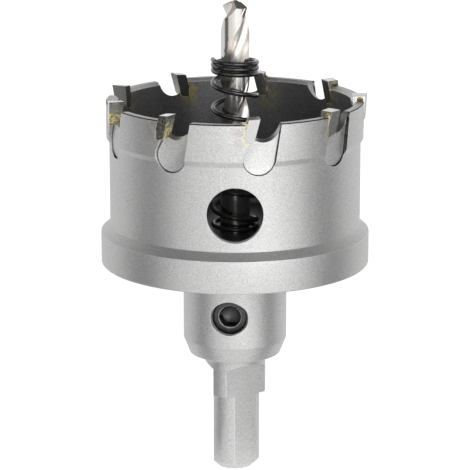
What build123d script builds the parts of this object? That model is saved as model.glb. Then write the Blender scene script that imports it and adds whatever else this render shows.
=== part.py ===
from build123d import *
from math import asin, cos, degrees, pi, radians, sin, sqrt, tan
import os

# A carbide-tipped hole saw, in millimetres and degrees.
# The origin is the centre of the shank's end face, and +Z runs up the axis to the drill's point.
# The front is -Y. An angle round the axis is counted from the front, anticlockwise from above,
# which is the way the saw turns when it cuts.

# Cup: the thin wall, its thicker band at the rim, and the solid flange that closes it.
cutting_diameter = 53.0
tip_outer_clearance = 0.65
band_relief = 0.6
wall_thickness = 1.5
cup_height = 33.2
cup_depth = 27.0
cup_floor_fillet = 1.2
band_height = 7.35
band_step_height = 1.1
rim_inner_chamfer = 0.65
flange_overhang = 0.6
flange_side_height = 6.5
flange_shoulder_height = 1.5
flange_edge_chamfer = 0.3

# Hub and shank.
hub_diameter = 21.0
hub_length = 19.2
hub_nose_land = 1.15
hub_nose_height = 3.3
collar_diameter = 12.5
collar_root_fillet = 1.8
shank_diameter = 10.0
shank_length = 24.45
shank_grip_length = 16.05
shank_shoulder_fillet = 0.4
shank_end_chamfer = 1.5
shank_flat_count = 3
shank_flat_depth = 0.65
shank_flat_angle = 29.0
shank_flat_runout = 1.55
shank_flat_mill_radius = 9.0

# Chip windows in the wall.
window_count = 2
window_diameter = 11.0
window_drop = 17.95

# Teeth: carbide tips on seats cut through the wall.
tooth_count = 9
first_tooth_angle = 7.4
tip_rise = 1.2
tip_height = 4.75
tip_width = 2.25
tip_lead_offset = 1.5
tip_lead_lean = 14.0
tip_back_lean = 15.0
tip_heel_drop = 2.75
tip_side_relief = 9.0
tip_top_relief = 5.0
tip_foot_slope = 5.0
tip_toe_fillet = 1.0
tip_inner_clearance = 0.25
tip_outer_relief = 0.1
tip_inner_relief = 0.2
braze_gap = 0.2
braze_fillet_height = 0.8
braze_fillet_length = 0.9
braze_fillet_inset = 0.25

# Gullet: the notch cut right through the wall ahead of each tip.
gullet_radius = 3.4
gullet_offset = 2.35
gullet_slope = 25.0
gullet_left_end = 40.0

# Chip pocket: the shallow flat-floored recess outside each gullet.
pocket_depth = 1.0
pocket_radius = 3.25
pocket_angle = 3.2
pocket_drop = 6.93
pocket_back_lean = 28.0
pocket_lead_lean = 9.0

# Pilot drill.
drill_diameter = 6.0
drill_reach = 20.0
drill_hub_depth = 16.8
drill_flute_length = 32.0
drill_flute_runout = 5.0
drill_point_angle = 135.0
drill_lip_relief = 12.0
drill_gash_slope = 55.0
drill_gash_turn = 61.0
drill_gash_rise = 0.53
drill_split_turn = 19.5
drill_helix_angle = 29.0
drill_web = 0.95
drill_land_angle = 84.0
drill_margin_angle = 13.0
drill_body_clearance = 0.14
drill_flute_flat = 1.3
drill_tip_turn = 60.0
drill_end_chamfer = 0.5
socket_clearance = 0.03

# Ejector spring round the drill.
spring_wire_diameter = 1.0
spring_drill_clearance = 0.9
spring_free_length = 35.54
spring_turns = 9.75
spring_start_angle = 270.0
spring_top_closed_turns = 2.6
spring_bottom_closed_turns = 1.16
spring_closed_gap = 0.05
spring_seat_gap = 0.05
spring_ramp_turns = 0.6
spring_points_per_turn = 12

# Grub screw in the hub.
screw_diameter = 7.6
screw_clearance = 0.05
screw_length = 6.2
screw_angle = -6.75
screw_drop = 9.65
screw_socket_width = 4.0
screw_socket_depth = 3.4
screw_socket_mouth = 5.2
screw_mouth_depth = 0.35
screw_drill_diameter = 3.9
screw_drill_angle = 118.0
screw_edge_chamfer = 0.6
screw_flat_depth = 0.5
screw_flat_length = 9.0

# Heights on the axis, from the sizes above.
hub_base_z = shank_length
flange_base_z = hub_base_z + hub_length
rim_z = flange_base_z + cup_height
floor_z = rim_z - cup_depth
shoulder_base_z = flange_base_z + flange_side_height
shoulder_top_z = shoulder_base_z + flange_shoulder_height
band_base_z = rim_z - band_height
band_step_z = band_base_z - band_step_height
drill_tip_z = rim_z + drill_reach
drill_base_z = flange_base_z - drill_hub_depth
screw_z = flange_base_z - screw_drop

# Radii and reaches that several pieces share.
cutting_radius = cutting_diameter / 2
band_radius = cutting_radius - tip_outer_clearance
wall_radius = band_radius - band_relief
bore_radius = wall_radius - wall_thickness
flange_radius = cutting_radius + flange_overhang
hub_radius = hub_diameter / 2
collar_radius = collar_diameter / 2
shank_radius = shank_diameter / 2
drill_radius = drill_diameter / 2
pocket_floor_radius = band_radius - pocket_depth
tip_top_z = rim_z + tip_rise
tip_back_offset = tip_lead_offset - tip_width
tip_depth = cutting_radius - bore_radius + tip_inner_clearance
wall_span = band_radius - bore_radius
overcut = 3.0


def turned_blank():
    """The body as it leaves the lathe: shank, collar, hub, flange and cup."""
    root_radius = collar_radius + collar_root_fillet
    with BuildPart() as blank:
        with BuildSketch(Plane.XZ):
            with BuildLine():
                Polyline(
                    (0, 0),
                    (shank_radius - shank_end_chamfer, 0),
                    (shank_radius, shank_end_chamfer),
                    (shank_radius, shank_grip_length - shank_shoulder_fillet),
                )
                TangentArc(
                    (shank_radius, shank_grip_length - shank_shoulder_fillet),
                    (shank_radius + shank_shoulder_fillet, shank_grip_length),
                    tangent=(0, 1),
                )
                Polyline(
                    (shank_radius + shank_shoulder_fillet, shank_grip_length),
                    (collar_radius, shank_grip_length),
                    (collar_radius, hub_base_z - collar_root_fillet),
                )
                TangentArc(
                    (collar_radius, hub_base_z - collar_root_fillet),
                    (root_radius, hub_base_z),
                    tangent=(0, 1),
                )
                Polyline(
                    (root_radius, hub_base_z),
                    (root_radius + hub_nose_land, hub_base_z),
                    (hub_radius, hub_base_z + hub_nose_height),
                    (hub_radius, flange_base_z),
                    (flange_radius - flange_edge_chamfer, flange_base_z),
                    (flange_radius, flange_base_z + flange_edge_chamfer),
                    (flange_radius, shoulder_base_z),
                    (wall_radius, shoulder_top_z),
                    (wall_radius, band_step_z),
                    (band_radius, band_base_z),
                    (band_radius, rim_z),
                    (bore_radius + rim_inner_chamfer, rim_z),
                    (bore_radius, rim_z - rim_inner_chamfer),
                    (bore_radius, floor_z + cup_floor_fillet),
                )
                TangentArc(
                    (bore_radius, floor_z + cup_floor_fillet),
                    (bore_radius - cup_floor_fillet, floor_z),
                    tangent=(0, -1),
                )
                Polyline((bore_radius - cup_floor_fillet, floor_z), (0, floor_z), (0, 0))
            make_face()
        revolve(axis=Axis.Z)
    return blank.part


def shank_flat_cutter():
    """One flat, milled from the shank's end upwards: the mill leaves a round end on the collar."""
    stop_z = hub_base_z - shank_flat_runout - shank_flat_mill_radius
    with BuildPart() as cutter:
        with BuildSketch(Plane.XZ.offset(shank_radius - shank_flat_depth)):
            with Locations((0, stop_z)):
                Circle(shank_flat_mill_radius)
                Rectangle(
                    2 * shank_flat_mill_radius,
                    stop_z + overcut,
                    align=(Align.CENTER, Align.MAX),
                )
        extrude(amount=collar_diameter)
    return cutter.part


def window_cutter():
    """A round hole through one side of the wall, at the front."""
    hole = Cylinder(
        window_diameter / 2,
        flange_radius,
        align=(Align.CENTER, Align.CENTER, Align.MIN),
    )
    return Pos(0, 0, rim_z - window_drop) * Rot(90, 0, 0) * hole


def tip_profile():
    """Outline of a tip seen from outside: x runs the way the saw turns, y is the height."""
    back_top_z = tip_top_z - tip_width * tan(radians(tip_top_relief))
    bottom_z = tip_top_z - tip_height
    lead_bottom_x = tip_lead_offset - tip_height * tan(radians(tip_lead_lean))
    # The foot falls towards the back face, so it ends a little lower there.
    heel_x = tip_back_offset - tip_heel_drop * tan(radians(tip_back_lean))
    heel_bottom_z = bottom_z - (lead_bottom_x - heel_x) * tan(radians(tip_foot_slope))
    with BuildSketch(Plane.XZ) as outline:
        with BuildLine():
            Polyline(
                (tip_lead_offset, tip_top_z),
                (tip_back_offset, back_top_z),
                (heel_x, back_top_z - tip_heel_drop),
                (heel_x, heel_bottom_z),
                (lead_bottom_x, bottom_z),
                (tip_lead_offset, tip_top_z),
            )
        make_face()
        toe = outline.vertices().sort_by_distance((lead_bottom_x, bottom_z, 0))[0]
        fillet(toe, tip_toe_fillet)
    return outline.sketch


def carbide_tip():
    """A tip at the front, relieved so that only its leading top corner is on the cutting circle."""
    outer_top = sqrt(cutting_radius**2 - tip_lead_offset**2)
    outer_bottom = outer_top - tip_outer_relief
    inner_top = outer_top - tip_depth
    inner_bottom = inner_top + tip_inner_relief
    low_z = tip_top_z - tip_height - tip_width
    high_z = tip_top_z + tip_width
    above = high_z - tip_top_z
    below = tip_top_z - low_z
    # The sides keep their taper above and below the tip, so the slabs cut it cleanly.
    outer_slope = (outer_top - outer_bottom) / tip_height
    inner_slope = (inner_bottom - inner_top) / tip_height

    def slab(*corners):
        side = make_face(Plane.YZ * Polyline(*corners, close=True))
        return extrude(side, amount=2 * tip_width + tip_height, both=True)

    outer = slab(
        (-(outer_top + above * outer_slope), high_z),
        (-(outer_top - below * outer_slope), low_z),
        (0, low_z),
        (0, high_z),
    )
    inner = slab(
        (-(inner_top - above * inner_slope), high_z),
        (-(inner_top + below * inner_slope), low_z),
        (-(cutting_radius + overcut), low_z),
        (-(cutting_radius + overcut), high_z),
    )
    # The outer side falls back behind the leading edge.
    corner = Pos(tip_lead_offset, -outer_top, 0)
    outer = corner * Rot(0, 0, -tip_side_relief) * corner.inverse() * outer
    block = extrude(tip_profile(), amount=cutting_radius + overcut)
    return block & outer & inner


def seat_cutter():
    """The slot through the wall that a tip and its filler sit in."""
    slot = offset(tip_profile(), amount=braze_gap, kind=Kind.INTERSECTION)
    through = extrude(slot, amount=cutting_radius + overcut)
    core_height = tip_top_z + overcut
    core = Cylinder(
        bore_radius - tip_depth,
        core_height,
        align=(Align.CENTER, Align.CENTER, Align.MIN),
    )
    return through - core


def gullet_cutter():
    """The notch ahead of a tip, cut on a slope that falls outwards."""
    slope = radians(gullet_slope)
    plane = Plane(
        origin=(0, -pocket_floor_radius, rim_z),
        x_dir=(1, 0, 0),
        z_dir=(0, -cos(slope), -sin(slope)),
    )
    left_x = gullet_offset - gullet_radius * sin(radians(gullet_left_end))
    left_y = -gullet_radius * cos(radians(gullet_left_end))
    top_y = gullet_radius + overcut
    lean = tan(radians(tip_lead_lean))
    with BuildPart() as cutter:
        with BuildSketch(plane):
            with BuildLine():
                Line((gullet_offset + gullet_radius, top_y), (gullet_offset + gullet_radius, 0))
                RadiusArc(
                    (gullet_offset + gullet_radius, 0),
                    (left_x, left_y),
                    gullet_radius,
                )
                Polyline(
                    (left_x, left_y),
                    (left_x + (top_y - left_y) * lean, top_y),
                    (gullet_offset + gullet_radius, top_y),
                )
            make_face()
        extrude(amount=2 * wall_span, both=True)
    return cutter.part


def pocket_cutter():
    """The recess outside a gullet: a flat floor, a round end and two leaning flanks."""
    centre_z = rim_z - pocket_drop
    back = radians(pocket_back_lean)
    lead = radians(pocket_lead_lean)
    back_x = -pocket_radius * cos(back)
    back_z = centre_z + pocket_radius * sin(back)
    lead_x = pocket_radius * cos(lead)
    lead_z = centre_z - pocket_radius * sin(lead)
    top_z = rim_z + overcut
    with BuildPart() as cutter:
        with BuildSketch(Plane.XZ.offset(pocket_floor_radius)):
            with BuildLine():
                ThreePointArc((back_x, back_z), (0, centre_z - pocket_radius), (lead_x, lead_z))
                Polyline(
                    (lead_x, lead_z),
                    (lead_x + (top_z - lead_z) * tan(lead), top_z),
                    (back_x + (top_z - back_z) * tan(back), top_z),
                    (back_x, back_z),
                )
            make_face()
        extrude(amount=cutting_radius)
    return Rot(0, 0, pocket_angle) * cutter.part


def drill_socket():
    """The blind bore that holds the drill's shank, up from its lower end."""
    height = floor_z - drill_base_z + overcut
    bore = Cylinder(
        drill_radius + socket_clearance,
        height,
        align=(Align.CENTER, Align.CENTER, Align.MIN),
    )
    return Pos(0, 0, drill_base_z) * bore


def screw_hole():
    """The threaded hole in the hub, at the thread's mean diameter, from the socket outwards."""
    hole = Cylinder(
        screw_diameter / 2 + screw_clearance,
        hub_diameter,
        align=(Align.CENTER, Align.CENTER, Align.MIN),
    )
    return Rot(0, 0, screw_angle) * Pos(0, 0, screw_z) * Rot(90, 0, 0) * hole


def tooth_angles():
    return [first_tooth_angle + index * 360 / tooth_count for index in range(tooth_count)]


def cutter_body(blank, tooth_cutters):
    """The turned blank with its flats, windows, socket, screw hole and tooth cuts."""
    body = blank
    for index in range(shank_flat_count):
        turn = shank_flat_angle + index * 360 / shank_flat_count
        body -= Rot(0, 0, turn) * shank_flat_cutter()
    for index in range(window_count):
        body -= Rot(0, 0, index * 360 / window_count) * window_cutter()
    body -= drill_socket()
    body -= screw_hole()
    for angle in tooth_angles():
        body -= [Rot(0, 0, angle) * cutter for cutter in tooth_cutters]
    return body


def braze_seam(blank, tip, seat, gullet, pocket):
    """The filler left between a tip and its seat, with a small fillet behind the tip on the rim."""
    seam = (blank & seat) - tip - gullet - pocket
    lean = tan(radians(tip_back_lean))
    rim_x = tip_back_offset - tip_rise * lean
    top_x = rim_x + braze_fillet_height * lean
    inner = bore_radius + rim_inner_chamfer
    outer = band_radius - braze_fillet_inset
    with BuildPart() as wedge:
        with BuildSketch(Plane.XZ.offset(inner)):
            with BuildLine():
                Line((rim_x + tip_width / 2, rim_z), (rim_x - braze_fillet_length, rim_z))
                TangentArc(
                    (rim_x - braze_fillet_length, rim_z),
                    (top_x, rim_z + braze_fillet_height),
                    tangent=(1, 0),
                )
                Polyline(
                    (top_x, rim_z + braze_fillet_height),
                    (top_x + tip_width / 2, rim_z + braze_fillet_height),
                    (rim_x + tip_width / 2, rim_z),
                )
            make_face()
        extrude(amount=outer - inner)
    return seam + (wedge.part - tip)


def drill_section():
    """Half-turn symmetric section of the fluted length, with a lip along the x axis."""
    body_radius = drill_radius - drill_body_clearance
    half_web = drill_web / 2
    lip_end = Vector(sqrt(drill_radius**2 - half_web**2), half_web)
    lip_angle = degrees(asin(half_web / drill_radius))
    flat_end = Vector(drill_flute_flat, half_web)
    heel_angle = 180 + lip_angle - drill_land_angle
    margin_angle = 180 + lip_angle - drill_margin_angle
    heel = Vector(body_radius, 0).rotate(Axis.Z, heel_angle)
    margin_low = Vector(body_radius, 0).rotate(Axis.Z, margin_angle)
    margin_high = Vector(drill_radius, 0).rotate(Axis.Z, margin_angle)
    far_lip = Vector(-lip_end.X, -lip_end.Y)
    edges = []
    for turn in (0, 180):
        half = [
            Line(lip_end, flat_end),
            TangentArc(flat_end, heel, tangent=(-1, 0)),
            RadiusArc(heel, margin_low, -body_radius),
            Line(margin_low, margin_high),
            RadiusArc(margin_high, far_lip, -drill_radius),
        ]
        edges += [edge.rotate(Axis.Z, turn) for edge in half]
    return make_face(Wire(edges))


def pilot_drill():
    """Twist drill: plain shank, fluted length, run-out, two-facet point and a clamping flat."""
    flute_base_z = drill_tip_z - drill_flute_length
    twist = 360 * drill_flute_length * tan(radians(drill_helix_angle)) / (pi * drill_diameter)
    section = Pos(0, 0, flute_base_z) * drill_section().face()
    fluted = Solid.extrude_linear_with_rotation(
        section, (0, 0, flute_base_z), (0, 0, drill_flute_length), twist
    )
    # The lips end where the photograph shows them, so the whole twist is turned to match.
    fluted = Rot(0, 0, drill_tip_turn - 90 - twist) * fluted
    with BuildPart() as core:
        with BuildSketch(Plane.XZ):
            Polygon(
                (0, drill_base_z),
                (drill_radius - drill_end_chamfer, drill_base_z),
                (drill_radius, drill_base_z + drill_end_chamfer),
                (drill_radius, flute_base_z),
                (drill_web / 2, flute_base_z + drill_flute_runout),
                (0, flute_base_z + drill_flute_runout),
                align=None,
            )
        revolve(axis=Axis.Z)
    drill = core.part + fluted
    for turn in (0, 180):
        for cutter in drill_point_cutters():
            drill -= Rot(0, 0, drill_tip_turn - 90 + turn) * cutter
    return drill - screw_flat_cutter()


def drill_point_cutters():
    """What is ground away at a lip that lies along the x axis: the facet behind it and its gash."""
    outside = Box(
        drill_reach,
        drill_reach,
        drill_reach,
        align=(Align.CENTER, Align.CENTER, Align.MIN),
    )
    point_slope = 90 - drill_point_angle / 2
    facet = Pos(0, 0, drill_tip_z) * Rot(0, point_slope, 0) * Rot(drill_lip_relief, 0, 0) * outside
    # The gash has a sloped floor across the other lip's heel, and a wall that carries the lip inwards.
    floor = Pos(0, 0, drill_tip_z + drill_gash_rise) * Rot(0, 0, drill_gash_turn)
    floor = floor * Rot(0, drill_gash_slope, 0) * outside
    wall = Pos(0, 0, drill_tip_z) * Rot(0, 0, 90 + drill_split_turn) * Rot(0, 90, 0) * outside
    return [facet, floor & wall]


def screw_flat_cutter():
    """The small flat on the drill's shank that the screw bears on."""
    seat_y = -(drill_radius - screw_flat_depth)
    block = Box(
        drill_diameter,
        drill_diameter,
        screw_flat_length,
        align=(Align.CENTER, Align.MAX, Align.CENTER),
    )
    return Rot(0, 0, screw_angle) * Pos(0, seat_y, screw_z) * block


def spring_pitch(turn):
    """Rise for one turn at a place along the wire, counted in turns from the top end."""
    closed_pitch = spring_wire_diameter + spring_closed_gap
    open_turns = spring_turns - spring_top_closed_turns - spring_bottom_closed_turns
    closed_turns = spring_top_closed_turns + spring_bottom_closed_turns
    drop = spring_free_length - spring_wire_diameter
    open_pitch = (drop - closed_pitch * closed_turns) / open_turns

    def ramp(place):
        share = min(max(place / spring_ramp_turns + 0.5, 0), 1)
        return share * share * (3 - 2 * share)

    opening = ramp(turn - spring_top_closed_turns)
    closing = ramp(spring_turns - spring_bottom_closed_turns - turn)
    return closed_pitch + (open_pitch - closed_pitch) * opening * closing


def ejector_spring():
    """Left-hand coil spring with closed ends, standing on the cup's floor."""
    coil_radius = drill_radius + spring_drill_clearance + spring_wire_diameter / 2
    height = floor_z + spring_seat_gap + spring_free_length - spring_wire_diameter / 2
    step = 1 / spring_points_per_turn
    points = []
    for index in range(int(spring_turns * spring_points_per_turn) + 1):
        turn = index * step
        # The wire starts at the left and runs anticlockwise as it falls.
        angle = radians(spring_start_angle + 360 * turn)
        points.append((coil_radius * sin(angle), -coil_radius * cos(angle), height))
        height -= step * spring_pitch(turn + step / 2)
    wire = Spline(points)
    profile = Plane(origin=wire @ 0, z_dir=wire % 0) * Circle(spring_wire_diameter / 2)
    return sweep(profile, path=wire, is_frenet=True)


def grub_screw():
    """Flat-point socket set screw, bearing on the drill's flat."""
    seat = drill_radius - screw_flat_depth
    radius = screw_diameter / 2
    with BuildPart() as screw:
        with BuildSketch(Plane.XZ):
            Polygon(
                (0, 0),
                (radius - screw_edge_chamfer, 0),
                (radius, screw_edge_chamfer),
                (radius, screw_length - screw_edge_chamfer),
                (radius - screw_edge_chamfer, screw_length),
                (0, screw_length),
                align=None,
            )
        revolve(axis=Axis.Z)
        with BuildSketch(Plane.XY.offset(screw_length)):
            RegularPolygon(screw_socket_width / 2, 6, major_radius=False)
        extrude(amount=-screw_socket_depth, mode=Mode.SUBTRACT)
        with Locations((0, 0, screw_length - screw_socket_depth)):
            Cone(
                0,
                screw_drill_diameter / 2,
                screw_drill_diameter / 2 / tan(radians(screw_drill_angle / 2)),
                align=(Align.CENTER, Align.CENTER, Align.MAX),
                mode=Mode.SUBTRACT,
            )
        with Locations((0, 0, screw_length)):
            Cone(
                screw_socket_width / 2,
                screw_socket_mouth / 2,
                screw_mouth_depth,
                align=(Align.CENTER, Align.CENTER, Align.MAX),
                mode=Mode.SUBTRACT,
            )
    return Rot(0, 0, screw_angle) * Pos(0, -seat, screw_z) * Rot(90, 0, 0) * screw.part


def write(name, shape):
    shape.label = name
    export_step(shape, f"parts/{name}.step")


def main():
    os.makedirs("parts", exist_ok=True)
    blank = turned_blank()
    tip = carbide_tip()
    seat = seat_cutter()
    gullet = gullet_cutter()
    pocket = pocket_cutter()
    seam = braze_seam(blank, tip, seat, gullet, pocket)
    write("cutter_body", cutter_body(blank, [seat, gullet, pocket]))
    for number, angle in enumerate(tooth_angles(), start=1):
        write(f"carbide_tip_{number}", Rot(0, 0, angle) * tip)
        write(f"braze_seam_{number}", Rot(0, 0, angle) * seam)
    write("pilot_drill", pilot_drill())
    write("ejector_spring", ejector_spring())
    write("grub_screw", grub_screw())


main()
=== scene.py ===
from math import acos, asin, atan2, cos, degrees, pi, radians, sin, sqrt, tan

import bmesh
import bpy
from mathutils import Matrix, Vector


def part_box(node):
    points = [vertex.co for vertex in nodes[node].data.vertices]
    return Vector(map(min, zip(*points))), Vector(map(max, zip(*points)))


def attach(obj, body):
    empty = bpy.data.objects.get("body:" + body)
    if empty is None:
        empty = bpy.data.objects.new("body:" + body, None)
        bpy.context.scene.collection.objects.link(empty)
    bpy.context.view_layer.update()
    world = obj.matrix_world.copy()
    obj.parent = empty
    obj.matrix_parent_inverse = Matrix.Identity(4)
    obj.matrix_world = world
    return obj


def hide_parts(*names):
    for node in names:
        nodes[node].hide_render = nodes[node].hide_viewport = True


# A carbide-tipped hole saw. Its pieces are modelled in millimetres and brought to metres when finished.
# The saw's axis is Z and its front is -Y. Angles round it are counted from the front, anticlockwise seen
# from above.

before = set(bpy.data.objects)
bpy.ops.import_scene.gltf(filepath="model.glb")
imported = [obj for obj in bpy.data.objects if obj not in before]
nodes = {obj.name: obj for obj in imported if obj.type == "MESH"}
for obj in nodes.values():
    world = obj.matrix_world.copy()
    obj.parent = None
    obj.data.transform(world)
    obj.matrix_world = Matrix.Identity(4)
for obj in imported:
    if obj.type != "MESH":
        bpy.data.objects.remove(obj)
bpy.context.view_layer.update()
MM = 0.001


def size_of(node):
    """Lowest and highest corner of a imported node, in millimetres."""
    low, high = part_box(node)
    return low / MM, high / MM


# Sizes that the frame gives.
body_high = size_of("cutter_body")[1]
drill_low, drill_high = size_of("pilot_drill")
spring_low, spring_high = size_of("ejector_spring")
flange_radius = body_high.x
rim_z = body_high.z
drill_radius = drill_high.x
drill_base_z = drill_low.z
drill_tip_z = drill_high.z

# Turned body.
cutting_radius = flange_radius - 0.6
band_radius = cutting_radius - 0.65
wall_radius = band_radius - 0.6
bore_radius = wall_radius - 1.5
shank_radius = 5.0
shank_end_radius = 3.5
grip_height = 16.05
collar_radius = 6.25
hub_radius = 10.5
hub_base_z = 24.45
hub_nose_radius = 9.2
hub_nose_z = hub_base_z + 3.3
flange_base_z = rim_z - 33.2
shoulder_base_z = flange_base_z + 6.5
shoulder_top_z = shoulder_base_z + 1.5
band_base_z = rim_z - 7.35
band_step_z = band_base_z - 1.1
floor_z = rim_z - 27.0
rim_chamfer = 0.65
rim_edge = 0.2
flange_edge = 0.3
collar_fillet = 1.8
floor_fillet = 1.2
bore_clearance = 0.03
bore_edge = 0.25
body_steps = 240
drawn_inside = 0.015

# Flats, windows and the screw's hole.
flat_distance = 4.35
flat_angle = 29.0
flat_top_z = hub_base_z - 1.55
flat_mill_radius = 9.0
window_z = rim_z - 17.95
window_radius = 5.5
window_cut_length = 8.0
screw_z = flange_base_z - 9.65
screw_angle = -6.75
screw_radius = 3.8
screw_clearance = 0.05
screw_seat = 2.5
screw_length = 6.2
screw_chamfer = 0.6
screw_lip = 0.1
screw_lip_drop = 0.06
screw_socket_width = 4.0
screw_socket_depth = 3.4
screw_mouth_radius = 2.35
screw_drill_radius = 1.95
screw_drill_slope = radians(59.0)
screw_drill_step = 0.5
screw_worn_width = 0.14
thread_pitch = 1.25
thread_depth = 0.35
thread_crest_width = 0.16
thread_start = 0.1

# Where a ridge of the thread has its crest, its foot and the end of the groove after it, in pitches.
ridge_crest = 0.3
ridge_foot = 0.5
groove_end = 0.55

# Teeth.
tooth_count = 9
first_tooth_angle = 7.4
tip_top_z = rim_z + 1.2
tip_height = 4.75
tip_width = 2.25
tip_lead_offset = 1.5
tip_lead_lean = tan(radians(14.0))
tip_back_lean = tan(radians(15.0))
tip_heel_drop = 2.75
tip_side_relief = radians(9.0)
tip_top_slope = tan(radians(5.0))
tip_foot_slope = tan(radians(5.0))
tip_toe_rounding = 1.0
tip_depth = cutting_radius - bore_radius + 0.25
tip_outer_relief = 0.1
tip_inner_relief = 0.2
tip_edge = 0.05
seat_gap = 0.2
gullet_radius = 3.4
gullet_offset = 2.35
gullet_slope = radians(25.0)
gullet_left_end = radians(40.0)
pocket_floor_radius = band_radius - 1.0
pocket_radius = 3.25
pocket_angle = 3.2
pocket_centre_z = rim_z - 6.93
pocket_back_lean = radians(28.0)
pocket_lead_lean = radians(9.0)
pocket_corner = 0.17
pocket_corner_depth = 0.05
overcut = 3.0

# How much filler and soot each tip carries, from the front one round.
tip_gilding = [0.2, 0.6, 0.7, 0.75, 0.2, 0.6, 0.5, 0.9, 1.0]
tip_soot_outside = [0.0, 0.6, 0.5, 0.5, 0.9, 0.5, 0.3, 0.0, 0.95]
tip_soot_sides = [0.3, 0.3, 0.3, 0.3, 0.9, 0.95, 0.35, 0.0, 0.15]
gold_off_rake = 0.32
gold_at_top = 0.4
soot_on_top = 0.3

# Pilot drill.
flute_length = 32.0
flute_base_z = drill_tip_z - flute_length
flute_runout = 5.0
helix_angle = radians(29.0)
flute_twist = flute_length * tan(helix_angle) / drill_radius
flute_steps = 160
half_web = 0.475
flute_flat = 1.3
land_angle = radians(84.0)
margin_angle = radians(13.0)
land_radius = drill_radius - 0.14
bright_land = 0.08
drill_foot = 0.5
point_slope = radians(22.5)
lip_relief = radians(12.0)
lip_angle = radians(-30.0)
gash_slope = radians(55.0)
gash_turn = radians(61.0)
gash_rise = 0.53
split_turn = radians(19.5)

# Ejector spring.
wire_radius = 0.5
spring_clearance = 0.9
coil_radius = drill_radius + spring_clearance + wire_radius
spring_turns = 9.75
spring_start = radians(270.0)
top_closed_turns = 2.6
bottom_closed_turns = 1.16
closed_pitch = 1.05
spring_ramp = 0.6
spring_steps = 36

# Distances under which points are merged, and under which a cutting plane meets a point.
merge_distance = 0.0005
seam_distance = 0.002
plane_distance = 0.0001


def turn_about_axis(angle):
    """Matrix of a turn round the saw's axis, in degrees."""
    return Matrix.Rotation(radians(angle), 4, "Z")


def tooth_angles():
    """Angles of the teeth round the axis, in degrees, from the front one on."""
    return [first_tooth_angle + index * 360 / tooth_count for index in range(tooth_count)]


# Modelling helpers.


def deselect():
    bpy.ops.object.select_all(action="DESELECT")


def make_active(piece):
    deselect()
    piece.select_set(True)
    bpy.context.view_layer.objects.active = piece


def start_edit(piece):
    make_active(piece)
    bpy.ops.object.mode_set(mode="EDIT")


def end_edit():
    bpy.ops.object.mode_set(mode="OBJECT")


def choose(piece, kind, test):
    """Selects the faces or edges in edit mode for which the test is true, and no others."""
    bpy.ops.mesh.select_mode(type=kind)
    mesh = bmesh.from_edit_mesh(piece.data)
    for part in mesh.faces if kind == "FACE" else mesh.edges:
        part.select_set(test(part))
    mesh.select_flush_mode()
    bmesh.update_edit_mesh(piece.data)


def start_point(name, point):
    """A mesh of one vertex, in edit mode, from a plane merged to its centre."""
    deselect()
    bpy.ops.mesh.primitive_plane_add(size=1, location=(0, 0, 0))
    piece = bpy.context.object
    piece.name = name
    bpy.ops.object.mode_set(mode="EDIT")
    bpy.ops.mesh.select_mode(type="VERT")
    bpy.ops.mesh.select_all(action="SELECT")
    bpy.ops.mesh.merge(type="CENTER")
    bpy.ops.transform.translate(value=point)
    return piece


def draw_chain(name, points, close=False):
    """A mesh of edges through the points, drawn by extruding one vertex, left in edit mode."""
    piece = start_point(name, points[0])
    for here, there in zip(points, points[1:]):
        step = Vector(there) - Vector(here)
        bpy.ops.mesh.extrude_region_move(TRANSFORM_OT_translate={"value": step})
    if close:
        mesh = bmesh.from_edit_mesh(piece.data)
        mesh.verts.ensure_lookup_table()
        mesh.edges.new((mesh.verts[-1], mesh.verts[0]))
        bmesh.update_edit_mesh(piece.data)
    return piece


def draw_plate(name, outline, thickness_vector):
    """A prism: the outline is filled and extruded along a vector. Left in object mode."""
    piece = draw_chain(name, outline, close=True)
    bpy.ops.mesh.select_all(action="SELECT")
    bpy.ops.mesh.edge_face_add()
    bpy.ops.mesh.extrude_region_move(TRANSFORM_OT_translate={"value": thickness_vector})
    bpy.ops.mesh.select_all(action="SELECT")
    bpy.ops.mesh.normals_make_consistent(inside=False)
    end_edit()
    return piece


def lathed(name, section, steps=96):
    """A closed turned piece about Z, from a half section of (radius, height) points."""
    piece = draw_chain(name, [(radius, 0, height) for radius, height in section])
    bpy.ops.mesh.select_all(action="SELECT")
    bpy.ops.mesh.spin(steps=steps, angle=2 * pi, center=(0, 0, 0), axis=(0, 0, 1))
    bpy.ops.mesh.select_all(action="SELECT")
    bpy.ops.mesh.remove_doubles(threshold=merge_distance)
    bpy.ops.mesh.normals_make_consistent(inside=False)
    end_edit()
    return piece


def place(piece, matrix):
    """Applies a matrix to the piece's mesh."""
    piece.data.transform(matrix)
    piece.data.update()


def copied(piece):
    """A copy of a piece with its own mesh."""
    copy = piece.copy()
    copy.data = piece.data.copy()
    bpy.context.scene.collection.objects.link(copy)
    return copy


def copies_round(piece, angles, name):
    """One object of turned copies of a piece, which is used up."""
    made = []
    for angle in angles:
        copy = copied(piece)
        place(copy, turn_about_axis(angle))
        made.append(copy)
    bpy.data.objects.remove(piece)
    return join(made, name)


def join(pieces, name):
    """One object of several."""
    deselect()
    for piece in pieces:
        piece.select_set(True)
    bpy.context.view_layer.objects.active = pieces[0]
    if len(pieces) > 1:
        bpy.ops.object.join()
    whole = bpy.context.object
    whole.name = name
    return whole


def cut(piece, cutter):
    """Takes the cutter away from the piece, and uses the cutter up."""
    make_active(piece)
    tool = piece.modifiers.new("cut", "BOOLEAN")
    tool.operation = "DIFFERENCE"
    tool.solver = "EXACT"
    tool.material_mode = "TRANSFER"
    tool.object = cutter
    bpy.ops.object.modifier_apply(modifier=tool.name)
    bpy.data.objects.remove(cutter)


def smooth(piece, angle):
    """Smooth shading, with edges sharper than an angle in degrees kept sharp."""
    make_active(piece)
    bpy.ops.object.shade_smooth_by_angle(angle=radians(angle))


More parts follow.
